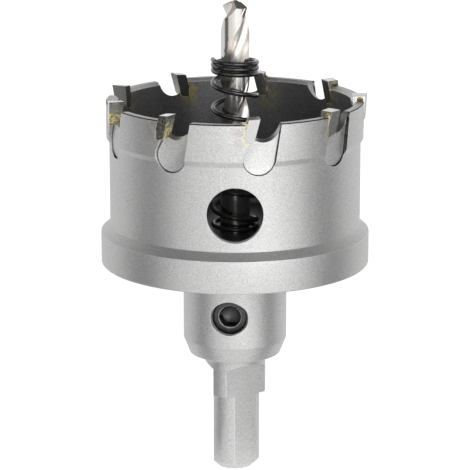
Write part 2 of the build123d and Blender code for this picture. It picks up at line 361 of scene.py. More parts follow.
def finish_piece(piece, name, replaced):
    """Brings a piece to metres, at the origin, and hands it to the frame."""
    piece.name = name
    piece.data.name = name
    place(piece, Matrix.Scale(MM, 4))
    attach(piece, "root")
    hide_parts(*replaced)


def arc_points(centre, radius, start, end, steps):
    """Points of an arc in two dimensions, angles in radians, both ends included."""
    angles = [start + (end - start) * index / steps for index in range(steps + 1)]
    return [(centre[0] + radius * cos(angle), centre[1] + radius * sin(angle)) for angle in angles]


def rounded(corners, steps=4):
    """Two-dimensional outline from (x, y, rounding) corners: each corner becomes an arc."""
    points = []
    for index, (x, y, rounding) in enumerate(corners):
        inside = 0 < index < len(corners) - 1
        if not inside or rounding == 0:
            points.append((x, y))
            continue
        here = Vector((x, y))
        back = (Vector(corners[index - 1][:2]) - here).normalized()
        ahead = (Vector(corners[index + 1][:2]) - here).normalized()
        half = acos(max(-1.0, min(1.0, back.dot(ahead)))) / 2
        reach = rounding / tan(half)
        centre = here + (back + ahead).normalized() * rounding / sin(half)
        first = here + back * reach - centre
        last = here + ahead * reach - centre
        turn = first.angle_signed(last)
        for step in range(steps + 1):
            spoke = first.copy()
            spoke.rotate(Matrix.Rotation(-turn * step / steps, 2))
            points.append(tuple(centre + spoke))
    return points


# Materials.


class Shader:
    """A node material with a Principled surface, and short ways to add and link its nodes."""

    def __init__(self, name, color, metallic, roughness):
        self.material = bpy.data.materials.new(name)
        self.material.use_nodes = True
        self.tree = self.material.node_tree
        self.surface = self.tree.nodes["Principled BSDF"]
        self.surface.inputs["Base Color"].default_value = (*color, 1)
        self.surface.inputs["Metallic"].default_value = metallic
        self.surface.inputs["Roughness"].default_value = roughness
        coordinates = self.add("ShaderNodeTexCoord")
        scale = self.add("ShaderNodeMapping")
        scale.inputs["Scale"].default_value = (1 / MM, 1 / MM, 1 / MM)
        self.link(coordinates.outputs["Object"], scale.inputs["Vector"])
        self.place = scale.outputs["Vector"]

    def add(self, kind, **settings):
        node = self.tree.nodes.new(kind)
        for key, value in settings.items():
            setattr(node, key, value)
        return node

    def link(self, source, target):
        self.tree.links.new(source, target)

    def noise(self, size, detail=3.0, roughness=0.5, stretch=None):
        """Noise with features of about that size, in millimetres."""
        node = self.add("ShaderNodeTexNoise")
        node.inputs["Scale"].default_value = 1 / size
        node.inputs["Detail"].default_value = detail
        node.inputs["Roughness"].default_value = roughness
        where = self.place
        if stretch:
            mapping = self.add("ShaderNodeMapping")
            mapping.inputs["Scale"].default_value = stretch
            self.link(where, mapping.inputs["Vector"])
            where = mapping.outputs["Vector"]
        self.link(where, node.inputs["Vector"])
        return node.outputs["Fac"]

    def span(self, value, low, high, to_low=0.0, to_high=1.0, smooth_ends=False):
        """Brings a value's range to another range, with straight or smooth ends."""
        node = self.add("ShaderNodeMapRange")
        node.interpolation_type = "SMOOTHSTEP" if smooth_ends else "LINEAR"
        node.inputs["From Min"].default_value = low
        node.inputs["From Max"].default_value = high
        node.inputs["To Min"].default_value = to_low
        node.inputs["To Max"].default_value = to_high
        self.link(value, node.inputs["Value"])
        return node.outputs["Result"]

    def math(self, operation, first, second=None):
        """Result of an operation on one or two values, each a socket or a number."""
        node = self.add("ShaderNodeMath", operation=operation)
        for socket, value in zip(node.inputs, (first, second)):
            if value is None:
                continue
            if isinstance(value, (int, float)):
                socket.default_value = value
            else:
                self.link(value, socket)
        return node.outputs["Value"]

    def mix(self, share, first, second):
        """Mixes two colours by a socket's share; each colour may be a socket or three numbers."""
        node = self.add("ShaderNodeMix", data_type="RGBA")
        self.link(share, node.inputs["Factor"])
        for socket, value in zip((node.inputs[6], node.inputs[7]), (first, second)):
            if isinstance(value, tuple):
                socket.default_value = (*value, 1)
            else:
                self.link(value, socket)
        return node.outputs[2]

    def tones(self, pattern, dark, light, low=0.3, high=0.7):
        """Colour that goes from a dark to a light tone over a range of the pattern."""
        return self.mix(self.span(pattern, low, high), dark, light)

    def color(self, socket):
        self.link(socket, self.surface.inputs["Base Color"])

    def roughness(self, socket):
        self.link(socket, self.surface.inputs["Roughness"])

    def relief(self, height, depth, edge=0.0):
        """Bump of a depth in millimetres, over edges that catch light as if rounded to a radius."""
        bump = self.add("ShaderNodeBump")
        bump.inputs["Strength"].default_value = 1.0
        bump.inputs["Distance"].default_value = depth * MM
        self.link(height, bump.inputs["Height"])
        if edge:
            bevel = self.add("ShaderNodeBevel", samples=4)
            bevel.inputs["Radius"].default_value = edge * MM
            self.link(bevel.outputs["Normal"], bump.inputs["Normal"])
        self.link(bump.outputs["Normal"], self.surface.inputs["Normal"])

    def edges(self, reach):
        """Two shares within a reach in millimetres: 1 on outer edges, which are lightened as rubbed wear and
        painted highlight, and 0 in inner corners, where shade is painted.

        The rounded normal leaves the face's own near an edge, so their product falls there, and an inner
        corner is told from an outer edge by how much of it is shut in.
        """
        flat_product = 0.996
        edge_product = 0.965
        shut_in = 0.55
        open_air = 0.95
        bevel = self.add("ShaderNodeBevel", samples=4)
        bevel.inputs["Radius"].default_value = reach * MM
        geometry = self.add("ShaderNodeNewGeometry")
        product = self.add("ShaderNodeVectorMath", operation="DOT_PRODUCT")
        self.link(bevel.outputs["Normal"], product.inputs[0])
        self.link(geometry.outputs["Normal"], product.inputs[1])
        corner = self.add("ShaderNodeAmbientOcclusion", samples=4, only_local=True)
        corner.inputs["Distance"].default_value = 2 * reach * MM
        free_of_painted_shade = self.span(corner.outputs["AO"], shut_in, open_air, smooth_ends=True)
        edge = self.span(product.outputs["Value"], flat_product, edge_product)
        return self.math("MULTIPLY", edge, free_of_painted_shade), free_of_painted_shade

    def height_and_angle(self):
        """Height, and angle from the front round the saw's axis, as sockets."""
        parts = self.add("ShaderNodeSeparateXYZ")
        self.link(self.place, parts.inputs["Vector"])
        x, y, z = parts.outputs
        return z, self.math("ARCTAN2", x, self.math("MULTIPLY", y, -1))


def beside_teeth(shader, angle):
    """1 a little behind each tooth and 0 between the teeth, from the angle round the axis."""
    degrees_behind = 4.0
    full_within = 0.1
    none_past = 0.55
    offset = shader.math("SUBTRACT", angle, radians(first_tooth_angle - degrees_behind))
    waves = shader.math("SINE", shader.math("MULTIPLY", offset, tooth_count / 2))
    away = shader.math("ABSOLUTE", waves)
    return shader.span(away, full_within, none_past, 1.0, 0.0, smooth_ends=True)


def stained(shader, tone, color, low, high, share):
    """The tone with heat stains of a colour near the brazed tips, in patches that fade out downwards."""
    height, angle = shader.height_and_angle()
    blots = shader.noise(1.6, detail=3.0, roughness=0.6)
    patches = shader.span(blots, 0.42, 0.62, 0.0, share, smooth_ends=True)
    reach = shader.span(height, low, high, smooth_ends=True)
    cover = shader.math("MULTIPLY", shader.math("MULTIPLY", patches, reach), beside_teeth(shader, angle))
    return shader.mix(cover, tone, color)


def satin_steel():
    """Blasted satin steel of the turned body: speckled, in places more evenly, with painted shade in its
    inner corners, lightened on its outer edges as rubbed wear and painted highlight, and faintly stained
    beside the brazed tips."""
    steel = Shader("satin_steel", (0.62, 0.62, 0.61), 1.0, 0.51)
    grain = steel.noise(0.25, detail=2.0, roughness=0.6)
    cloud = steel.noise(2.4, detail=2.0)
    speckled = steel.tones(grain, (0.49, 0.49, 0.49), (0.77, 0.77, 0.765))
    even = steel.tones(grain, (0.54, 0.54, 0.535), (0.73, 0.73, 0.725))
    tone = steel.tones(cloud, speckled, even, 0.35, 0.65)
    rubbed_and_highlit_edge, free_of_painted_shade = steel.edges(0.15)
    # Painted shade: inner corners and creases are taken to dark grey.
    tone = steel.mix(free_of_painted_shade, (0.22, 0.22, 0.22), tone)
    tone = stained(steel, tone, (0.34, 0.27, 0.22), low=rim_z - 7.0, high=rim_z - 1.0, share=0.45)
    # Outer edges are taken to near white, as rubbed wear and painted highlight.
    steel.color(steel.mix(rubbed_and_highlit_edge, tone, (0.93, 0.93, 0.925)))
    steel.roughness(steel.span(grain, 0.3, 0.7, 0.47, 0.55))
    steel.relief(steel.noise(0.11, detail=1.0), 0.004, edge=0.16)
    return steel.material


def dark_bore():
    """Dark colour of the cup's inside, with olive stains behind the tips."""
    bore = Shader("dark_bore", (0.12, 0.12, 0.125), 1.0, 0.5)
    grain = bore.noise(0.22, detail=2.0, roughness=0.6)
    tone = bore.tones(grain, (0.11, 0.11, 0.115), (0.25, 0.25, 0.255))
    bore.color(stained(bore, tone, (0.34, 0.29, 0.10), low=rim_z - 8.0, high=rim_z - 2.5, share=0.85))
    bore.relief(bore.noise(0.12, detail=1.0), 0.004)
    return bore.material


def two_tones(name, size, dark, light, metallic, roughness, detail=2.0, stretch=None, depth=0.0, edge=0.0):
    """A finish that goes between two tones in a noise of a size, with its relief where it has a depth."""
    middle = tuple((low + high) / 2 for low, high in zip(dark, light))
    shader = Shader(name, middle, metallic, roughness)
    pattern = shader.noise(size, detail=detail, stretch=stretch)
    shader.color(shader.tones(pattern, dark, light))
    if depth:
        shader.relief(pattern, depth, edge=edge)
    return shader.material


def bright_steel(name, dark, light, smoothest, roughest):
    """The drill's bright steel, with fine lines along it."""
    bright = Shader(name, light, 1.0, (smoothest + roughest) / 2)
    grain = bright.noise(0.3, detail=2.0, stretch=(1, 1, 0.2))
    bright.roughness(bright.span(grain, 0.3, 0.7, smoothest, roughest))
    bright.color(bright.tones(grain, dark, light))
    return bright.material


def painted_shade_wall():
    """Near black, which is painted shade: the chip pockets' walls, the corner round their floors and the
    rim's outer edge."""
    wall = Shader("painted_shade_wall", (0.06, 0.06, 0.06), 1.0, 0.5)
    # The noise only mottles the painted shade.
    soot_and_painted_shade = wall.noise(0.5, detail=3.0)
    wall.color(wall.tones(soot_and_painted_shade, (0.03, 0.03, 0.03), (0.12, 0.12, 0.115), 0.35, 0.65))
    return wall.material


def ground_carbide():
    """Ground carbide, with a film of flux and lumps of filler where the piece is marked as gilded, and
    burnt dark where it is marked as sooty."""
    carbide = Shader("ground_carbide", (0.7, 0.7, 0.69), 1.0, 0.2)
    grain = carbide.noise(0.16, detail=2.0)
    tone = carbide.tones(grain, (0.56, 0.56, 0.54), (0.74, 0.74, 0.72))
    amount = carbide.add("ShaderNodeAttribute", attribute_name="gilding").outputs["Fac"]
    blots = carbide.noise(0.9, detail=3.0, roughness=0.6)
    cover = carbide.span(carbide.math("MULTIPLY", blots, amount), 0.32, 0.42, smooth_ends=True)
    lumps = carbide.noise(0.6, detail=2.0)
    gold = carbide.tones(lumps, (0.26, 0.22, 0.10), (0.88, 0.76, 0.38), 0.40, 0.56)
    film = carbide.span(amount, 0.3, 0.85, 0.0, 0.9)
    burnt = carbide.add("ShaderNodeAttribute", attribute_name="soot_and_painted_shade").outputs["Fac"]
    clouds = carbide.span(carbide.noise(0.5, detail=3.0), 0.35, 0.6, 0.75, 1.0)
    bare = carbide.mix(carbide.math("MULTIPLY", burnt, clouds), tone, (0.035, 0.035, 0.03))
    carbide.color(carbide.mix(cover, carbide.mix(film, bare, (0.58, 0.55, 0.40)), gold))
    covered = carbide.math("MAXIMUM", cover, carbide.math("MAXIMUM", film, burnt))
    carbide.link(carbide.span(covered, 0.0, 1.0, 1.0, 0.3), carbide.surface.inputs["Metallic"])
    polish = carbide.span(grain, 0.3, 0.7, 0.15, 0.24)
    carbide.roughness(carbide.math("ADD", polish, carbide.math("MULTIPLY", cover, 0.15)))
    carbide.relief(grain, 0.003, edge=0.07)
    return carbide.material


def gold_braze():
    """Brazing filler: dark with flux in most places, and bright gold where it was left clean."""
    braze = Shader("gold_braze", (0.5, 0.4, 0.18), 1.0, 0.35)
    lumps = braze.noise(0.9, detail=3.0, roughness=0.6)
    braze.color(braze.tones(lumps, (0.13, 0.115, 0.07), (0.88, 0.77, 0.42), 0.42, 0.54))
    braze.roughness(braze.span(lumps, 0.4, 0.6, 0.5, 0.3))
    braze.relief(braze.noise(0.4, detail=2.0), 0.03)
    return braze.material


def black_spring():
    """Glossy black wire, duller on its lower coils."""
    wire = Shader("black_spring", (0.012, 0.012, 0.013), 0.0, 0.22)
    wire.surface.inputs["Coat Weight"].default_value = 0.6
    wire.surface.inputs["Coat Roughness"].default_value = 0.08
    grain = wire.noise(0.4, detail=3.0)
    wire.color(wire.tones(grain, (0.008, 0.008, 0.009), (0.022, 0.022, 0.024)))
    height = wire.height_and_angle()[0]
    dull = wire.span(height, rim_z - 4.0, rim_z - 12.0, 0.0, 0.35)
    wire.roughness(wire.math("ADD", wire.span(grain, 0.3, 0.7, 0.12, 0.24), dull))
    return wire.material


steel_look = satin_steel()
bore_look = dark_bore()
painted_shade_look = painted_shade_wall()
carbide_look = ground_carbide()
braze_look = gold_braze()
spring_look = black_spring()

# The notches that were milled after blasting, with the mill's fine lines, and a darker colour that is
# painted shade.
milled_painted_shade_look = two_tones(
    "milled_steel_painted_shade",
    0.3,
    (0.30, 0.30, 0.30),
    (0.50, 0.50, 0.49),
    1.0,
    0.36,
    stretch=(1, 1, 3),
    depth=0.012,
    edge=0.12,
)

# The pale rough wall of the windows, drilled after the inside was darkened.
window_look = two_tones(
    "drilled_wall", 0.4, (0.52, 0.52, 0.515), (0.68, 0.68, 0.675), 0.35, 0.55, depth=0.01, edge=0.12
)

# The drill's ground shank, lands and margins, and its flutes, which are warmer and softer.
drill_look = bright_steel("bright_drill", (0.68, 0.66, 0.63), (0.78, 0.76, 0.73), 0.15, 0.24)
flute_look = bright_steel("polished_flute", (0.76, 0.73, 0.69), (0.86, 0.83, 0.79), 0.31, 0.41)

# The facets of the drill's point, dark and brownish from the grinding heat.
point_look = two_tones("ground_point", 0.35, (0.33, 0.28, 0.25), (0.50, 0.45, 0.41), 1.0, 0.3, depth=0.01)

# Black oxide of the grub screw, and the edge of its socket, where keys have rubbed the black off.
oxide_look = two_tones(
    "black_oxide", 0.25, (0.05, 0.05, 0.05), (0.11, 0.11, 0.11), 1.0, 0.4, detail=3.0, depth=0.01, edge=0.1
)
worn_look = two_tones("worn_edge", 0.25, (0.42, 0.41, 0.40), (0.66, 0.65, 0.64), 0.4, 0.45)


# Turned body.


def body_outline():
    """Half section of the body, from the shank's end round to the bottom of the drill's bore, each corner
    with its rounding."""
    socket_radius = drill_radius + bore_clearance
    return rounded(
        [
            (0, 0, 0),
            (shank_end_radius, 0, 0.15),
            (shank_radius, shank_radius - shank_end_radius, 0.3),
            (shank_radius, grip_height, 0.4),
            (collar_radius, grip_height, 0.15),
            (collar_radius, hub_base_z, collar_fillet),
            (hub_nose_radius, hub_base_z, 0.4),
            (hub_radius, hub_nose_z, 0.35),
            (hub_radius, flange_base_z, 0.25),
            (flange_radius - flange_edge, flange_base_z, 0.1),
            (flange_radius - drawn_inside, flange_base_z + flange_edge, 0.1),
            (flange_radius - drawn_inside, shoulder_base_z, 0.12),
            (wall_radius, shoulder_top_z, 0.2),
            (wall_radius, band_step_z, 0.3),
            (band_radius, band_base_z, 0.3),
            (band_radius, rim_z - rim_edge, 0.05),
            (band_radius - rim_edge, rim_z, 0.05),
            (bore_radius + rim_chamfer, rim_z, 0.06),
            (bore_radius, rim_z - rim_chamfer, 0.06),
            (bore_radius, floor_z, floor_fillet),
            (socket_radius + bore_edge, floor_z, 0),
            (socket_radius, floor_z - bore_edge, 0),
            (socket_radius, drill_base_z, 0),
            (0, drill_base_z, 0),
        ]
    )


def turned_body():
    """The body off the lathe: satin outside, dark in the cup, and with near-black painted shade on the rim's
    outer edge.
    """
    piece = lathed("lathe", body_outline(), body_steps)
    for look in (steel_look, bore_look, painted_shade_look):
        piece.data.materials.append(look)
    reach = 0.05
    below_floor = 1.0
    for face in piece.data.polygons:
        radius = face.center.xy.length
        height = face.center.z
        if radius < bore_radius + reach and floor_z - below_floor < height < rim_z - rim_chamfer:
            face.material_index = 1
        # The rim's outer edge gets the near-black painted shade.
        if radius > band_radius - rim_edge and height > rim_z - rim_edge:
            face.material_index = 2
    return piece


def tip_outline():
    """Corners of a tip seen from the front: lead top, back top, heel top, heel foot, toe."""
    back_x = tip_lead_offset - tip_width
    back_top_z = tip_top_z - tip_width * tip_top_slope
    foot_z = tip_top_z - tip_height
    toe_x = tip_lead_offset - tip_height * tip_lead_lean
    heel_x = back_x - tip_heel_drop * tip_back_lean
    return [
        Vector((tip_lead_offset, tip_top_z)),
        Vector((back_x, back_top_z)),
        Vector((heel_x, back_top_z - tip_heel_drop)),
        Vector((heel_x, foot_z - (toe_x - heel_x) * tip_foot_slope)),
        Vector((toe_x, foot_z)),
    ]


def grown(outline, amount):
    """The outline with every side moved outwards by the same amount."""
    middle = sum(outline, Vector((0, 0))) / len(outline)
    sides = []
    for index, start in enumerate(outline):
        end = outline[(index + 1) % len(outline)]
        along = (end - start).normalized()
        normal = Vector((along.y, -along.x))
        if normal.dot(start - middle) < 0:
            normal = -normal
        sides.append((start + normal * amount, along))
    corners = []
    for index, (start, along) in enumerate(sides):
        before, before_along = sides[index - 1]
        cross = before_along.x * along.y - before_along.y * along.x
        gap = start - before
        share = (gap.x * along.y - gap.y * along.x) / cross
        corners.append(before + before_along * share)
    return corners


def toe_rounded(outline, rounding):
    """The outline with its last corner, the toe, turned into an arc."""
    corners = [(p.x, p.y, 0) for p in outline] + [(outline[0].x, outline[0].y, 0)]
    corners[-2] = (outline[-1].x, outline[-1].y, rounding)
    return rounded(corners, steps=8)[:-1]


def seat_cutter():
    """What the seat of a tip takes off: the tip's outline with a gap for the filler, right through."""
    outline = toe_rounded(grown(tip_outline(), seat_gap), tip_toe_rounding + seat_gap)
    inner = bore_radius - tip_depth
    flat = [(x, -inner, z) for x, z in outline]
    return draw_plate("seat", flat, (0, -(cutting_radius + overcut - inner), 0))


def gullet_cutter():
    """What a gullet takes off: a round bowl in front of a tip, sloping down and outwards."""
    left_x = gullet_offset - gullet_radius * sin(gullet_left_end)
    left_z = -gullet_radius * cos(gullet_left_end)
    top = gullet_radius + overcut
    bowl = arc_points((gullet_offset, 0), gullet_radius, 0, -pi / 2 - gullet_left_end, steps=20)
    outline = [(gullet_offset + gullet_radius, top)] + bowl
    outline += [(left_x + (top - left_z) * tip_lead_lean, top)]
    reach = 2 * (band_radius - bore_radius)
    across = Vector((1, 0, 0))
    outward = Vector((0, -cos(gullet_slope), -sin(gullet_slope)))
    upward = Vector((0, -sin(gullet_slope), cos(gullet_slope)))
    start = Vector((0, -pocket_floor_radius, rim_z)) - outward * reach
    flat = [start + across * x + upward * y for x, y in outline]
    return draw_plate("gullet", flat, outward * 2 * reach)


def pocket_cutter():
    """What a chip pocket takes off: a flat floor with a narrow deeper corner round it."""
    top_z = rim_z + overcut
    centre = (0, pocket_centre_z)
    bottom = arc_points(centre, pocket_radius, -pi - pocket_back_lean, -pocket_lead_lean, steps=24)
    back_x, back_z = bottom[0]
    lead_x, lead_z = bottom[-1]
    outline = bottom + [
        (lead_x + (top_z - lead_z) * tan(pocket_lead_lean), top_z),
        (back_x + (top_z - back_z) * tan(pocket_back_lean), top_z),
    ]
    flat = [(x, -pocket_floor_radius - pocket_corner_depth, z) for x, z in outline]
    piece = draw_plate("pocket", flat, (0, -overcut, 0))
    start_edit(piece)
    choose(piece, "FACE", lambda face: face.normal.y > 0.9)
    bpy.ops.mesh.inset(thickness=pocket_corner, depth=pocket_corner_depth)
    end_edit()
    return piece


def window_cutter(angle):
    """A bar through the cup's wall, at the windows' height."""
    deselect()
    bpy.ops.mesh.primitive_cylinder_add(
        vertices=96,
        radius=window_radius,
        depth=window_cut_length,
        location=(0, -(bore_radius - overcut + window_cut_length / 2), window_z),
        rotation=(pi / 2, 0, 0),
    )
    piece = bpy.context.object
    bpy.ops.object.transform_apply()
    place(piece, turn_about_axis(angle))
    return piece


def flat_cutter(angle):
    """What the mill takes off for one flat: straight up the shank, with a round end."""
    centre_z = flat_top_z - flat_mill_radius
    top = arc_points((0, centre_z), flat_mill_radius, 0, pi, steps=64)
    outline = top + [(-flat_mill_radius, -overcut), (flat_mill_radius, -overcut)]
    flat = [(x, -flat_distance, z) for x, z in outline]
    piece = draw_plate("flat", flat, (0, -2 * collar_radius, 0))
    place(piece, turn_about_axis(angle))
    return piece


def into_hole(piece, start):
    """Lays a piece made along Z in the screw's hole, its foot at a distance from the saw's axis."""
    lying = Matrix.Translation((0, -start, screw_z)) @ Matrix.Rotation(pi / 2, 4, "X")
    place(piece, turn_about_axis(screw_angle) @ lying)


def threaded_cutter():
    """The screw's hole: plain where the screw sits, with the thread's ridges outside it."""
    root = screw_radius + screw_clearance
    crest = root - thread_depth
    start = screw_seat + screw_length + thread_start
    section = [(0, 0), (root, 0), (root, start)]
    for turn in range(2):
        ridge = start + thread_pitch * (turn + ridge_crest)
        section += [
            (crest, ridge - thread_crest_width / 2),
            (crest, ridge + thread_crest_width / 2),
            (root, ridge + thread_pitch * ridge_foot),
            (root, ridge + thread_pitch * groove_end),
        ]
    section += [(root, hub_radius + overcut), (0, hub_radius + overcut)]
    piece = lathed("threaded_hole", section)
    into_hole(piece, 0)
    return piece


def saw_body():
    """The turned body with its flats, windows and screw hole, then its seats, gullets and pockets. Each cut
    leaves its own finish on the body: the seats and gullets a milled one, darkened as painted shade, and the
    pockets' side walls and the corners round their floors a near-black painted shade."""
    body = turned_body()
    flats = [flat_cutter(flat_angle + turn) for turn in (0, 120, 240)]
    windows = [window_cutter(turn) for turn in (0, 180)]
    for cutters, look in ((flats, steel_look), (windows, window_look), ([threaded_cutter()], steel_look)):
        for cutter in cutters:
            cutter.data.materials.append(look)
        cut(body, join(cutters, "plain_cuts"))
    for make, floor_look, side_look, turn in (
        # Seats and gullets get the milled finish, darkened as painted shade.
        (seat_cutter, milled_painted_shade_look, milled_painted_shade_look, 0),
        (gullet_cutter, milled_painted_shade_look, milled_painted_shade_look, 0),
        # The pockets' side walls and floor corners get the near-black painted shade.
        (pocket_cutter, steel_look, painted_shade_look, pocket_angle),
    ):
        cutter = make()
        cutter.data.materials.append(floor_look)
        cutter.data.materials.append(side_look)
        for face in cutter.data.polygons:
            is_floor = abs(face.normal.y) > 0.99
            is_back_wall = face.normal.x < -0.5 and abs(face.normal.y) < 0.1
            face.material_index = 0 if is_floor or is_back_wall else 1
        place(cutter, turn_about_axis(turn))
        cut(body, copies_round(cutter, tooth_angles(), "tooth_cuts"))
    start_edit(body)
    bpy.ops.mesh.select_all(action="SELECT")
    bpy.ops.mesh.remove_doubles(threshold=seam_distance)
    end_edit()
    smooth(body, angle=25)
    finish_piece(body, "saw_body", ["cutter_body"])


# Carbide tips.


def carbide_tip():
    """A ground tip at the front: its outline as a prism, with both sides moved to their reliefs."""
    outer_top = sqrt(cutting_radius**2 - tip_lead_offset**2)
    inner_top = outer_top - tip_depth
    flat = [(x, -inner_top, z) for x, z in toe_rounded(tip_outline(), tip_toe_rounding)]
    piece = draw_plate("tip", flat, (0, -tip_depth, 0))
    for vertex in piece.data.vertices:
        share = (tip_top_z - vertex.co.z) / tip_height
        if vertex.co.y < -inner_top - tip_depth / 2:
            fall = (tip_lead_offset - vertex.co.x) * tan(tip_side_relief)
            vertex.co.y = -(outer_top - fall - tip_outer_relief * share / cos(tip_side_relief))
        else:
            vertex.co.y = -(inner_top + tip_inner_relief * share)
    smooth(piece, angle=30)
    bevel = piece.modifiers.new("edges", "BEVEL")
    bevel.width = tip_edge
    bevel.segments = 2
    bevel.limit_method = "ANGLE"
    bevel.angle_limit = radians(35)
    bevel.harden_normals = True
    make_active(piece)
    bpy.ops.object.modifier_apply(modifier=bevel.name)
    piece.data.materials.append(carbide_look)
    return piece


def mark_tip(tip, gold, soot_outside, soot_sides):
    """Marks where filler and soot lie on a tip at the front: most gold on its rake face and towards its
    foot, less soot on its top, and none on the face that looks into the cup."""
    tip.data.attributes.new("gilding", "FLOAT", "CORNER")
    tip.data.attributes.new("soot_and_painted_shade", "FLOAT", "CORNER")
    gilding = tip.data.attributes["gilding"]
    soot_and_painted_shade = tip.data.attributes["soot_and_painted_shade"]
    for face in tip.data.polygons:
        gold_share = 1.0 if face.normal.x > 0.5 else gold_off_rake
        soot_share = soot_outside if face.normal.y < -0.5 else soot_sides
        if face.normal.z > 0.5:
            soot_share *= soot_on_top
        if face.normal.y > 0.5:
            soot_share = 0.0
        for corner in face.loop_indices:
            vertex = tip.data.vertices[tip.data.loops[corner].vertex_index]
            share = (tip_top_z - vertex.co.z) / tip_height
            gilding.data[corner].value = gold * gold_share * min(1.0, gold_at_top + share)
            soot_and_painted_shade.data[corner].value = soot_share


def ground_tips():
    pattern = carbide_tip()
    marks = zip(tip_gilding, tip_soot_outside, tip_soot_sides)
    for number, (angle, mark) in enumerate(zip(tooth_angles(), marks), start=1):
        tip = copied(pattern)
        mark_tip(tip, *mark)
        place(tip, turn_about_axis(angle))
        finish_piece(tip, f"ground_tip_{number}", [f"carbide_tip_{number}"])
    bpy.data.objects.remove(pattern)


# Pilot drill.


def drill_section():
    """Outline of the fluted length across the axis, its first lip along +X."""
    lip_end = (sqrt(drill_radius**2 - half_web**2), half_web)
    lip_turn = asin(half_web / drill_radius)
    heel_turn = pi + lip_turn - land_angle
    margin_turn = pi + lip_turn - margin_angle
    heel = (land_radius * cos(heel_turn), land_radius * sin(heel_turn))
    across, rise = heel[0] - flute_flat, heel[1] - half_web
    flute_radius = (across**2 + rise**2) / (2 * rise)
    centre = (flute_flat, half_web + flute_radius)
    heel_end = atan2(heel[1] - centre[1], heel[0] - centre[0])
    half = [lip_end]
    half += arc_points(centre, flute_radius, 1.5 * pi, heel_end, steps=14)
    half += arc_points((0, 0), land_radius, heel_turn, margin_turn, steps=12)[1:]
    half += arc_points((0, 0), drill_radius, margin_turn, pi + lip_turn, steps=3)[:-1]
    return half + [(-x, -y) for x, y in half]


def bisect(point, normal, **side):
    """Cuts the piece in edit mode at a plane, fills the cut, and drops what lies on one side."""
    bpy.ops.mesh.select_all(action="SELECT")
    bpy.ops.mesh.bisect(plane_co=point, plane_no=normal, use_fill=True, threshold=plane_distance, **side)


def gash_cutter(turn):
    """What the point's gash takes off: a block bounded by its sloped floor and its wall."""
    deselect()
    bpy.ops.mesh.primitive_cube_add(size=4 * drill_radius, location=(0, 0, drill_tip_z))
    piece = bpy.context.object
    bpy.ops.object.transform_apply()
    start_edit(piece)
    steep = Matrix.Rotation(gash_turn, 3, "Z") @ Matrix.Rotation(gash_slope, 3, "Y")
    upright = Matrix.Rotation(pi / 2 + split_turn, 3, "Z") @ Matrix.Rotation(pi / 2, 3, "Y")
    for rise, side in ((gash_rise, steep), (0, upright)):
        normal = Matrix.Rotation(turn, 3, "Z") @ side @ Vector((0, 0, 1))
        bisect((0, 0, drill_tip_z + rise), normal, clear_inner=True)
    end_edit()
    return piece


def fluted_bar():
    """The drill's section swept up and round, with flutes that run out into a round foot."""
    outline = [(x, y, flute_base_z) for x, y in drill_section()]
    piece = draw_chain("flutes", outline, close=True)
    end_edit()
    place(piece, turn_about_axis(degrees(lip_angle - flute_twist)))
    make_active(piece)
    twist = piece.modifiers.new("twist", "SCREW")
    twist.axis = "Z"
    twist.angle = flute_twist
    twist.screw_offset = flute_length
    twist.steps = flute_steps
    twist.render_steps = flute_steps
    bpy.ops.object.modifier_apply(modifier=twist.name)
    piece.data.materials.clear()
    for look in (drill_look, flute_look, point_look):
        piece.data.materials.append(look)
    for face in piece.data.polygons:
        is_deep = face.center.xy.length < land_radius - bright_land
        is_full = face.center.z > flute_base_z + flute_runout
        face.material_index = 1 if is_deep and is_full else 0
    for vertex in piece.data.vertices:
        rise = (vertex.co.z - flute_base_z) / flute_runout
        if rise < 1:
            flat = vertex.co.xy
            share = (1 - rise) ** 2 if rise > 0 else 1
            vertex.co.xy = flat.lerp(flat.normalized() * drill_radius, share)
    return piece


def draw_shank(piece):
    """In edit mode: fills both ends of the fluted bar and draws the plain shank down from its foot."""
    choose(piece, "EDGE", lambda edge: edge.is_boundary)
    bpy.ops.mesh.edge_face_add()
    middle_z = (flute_base_z + drill_tip_z) / 2
    choose(piece, "FACE", lambda face: len(face.verts) > 4 and face.calc_center_median().z < middle_z)
    shank_base = drill_base_z + drill_foot
    bpy.ops.mesh.extrude_region_move(TRANSFORM_OT_translate={"value": (0, 0, shank_base - flute_base_z)})
    bpy.ops.mesh.extrude_region_move(TRANSFORM_OT_translate={"value": (0, 0, drill_base_z - shank_base)})
    narrow = (drill_radius - drill_foot) / drill_radius
    bpy.ops.transform.resize(value=(narrow, narrow, 1), center_override=(0, 0, drill_base_z))


def twist_drill():
    """The fluted bar on its shank, ground to a point with two relieved facets and split by two gashes."""
    piece = fluted_bar()
    start_edit(piece)
    draw_shank(piece)
    tilt = Matrix.Rotation(point_slope, 3, "Y") @ Matrix.Rotation(lip_relief, 3, "X")
    for turn in (0, pi):
        normal = Matrix.Rotation(lip_angle + turn, 3, "Z") @ tilt @ Vector((0, 0, 1))
        bisect((0, 0, drill_tip_z), normal, clear_outer=True)
    bpy.ops.mesh.select_all(action="SELECT")
    bpy.ops.mesh.normals_make_consistent(inside=False)
    end_edit()
    for face in piece.data.polygons:
        if face.center.z > drill_tip_z - 2 * half_web - drill_radius and face.normal.z > 0.5:
            face.material_index = 2
    for turn in (0, pi):
        gash = gash_cutter(lip_angle + turn)
        gash.data.materials.append(point_look)
        cut(piece, gash)
    smooth(piece, angle=25)
    finish_piece(piece, "twist_drill", ["pilot_drill"])


# Grub screw.


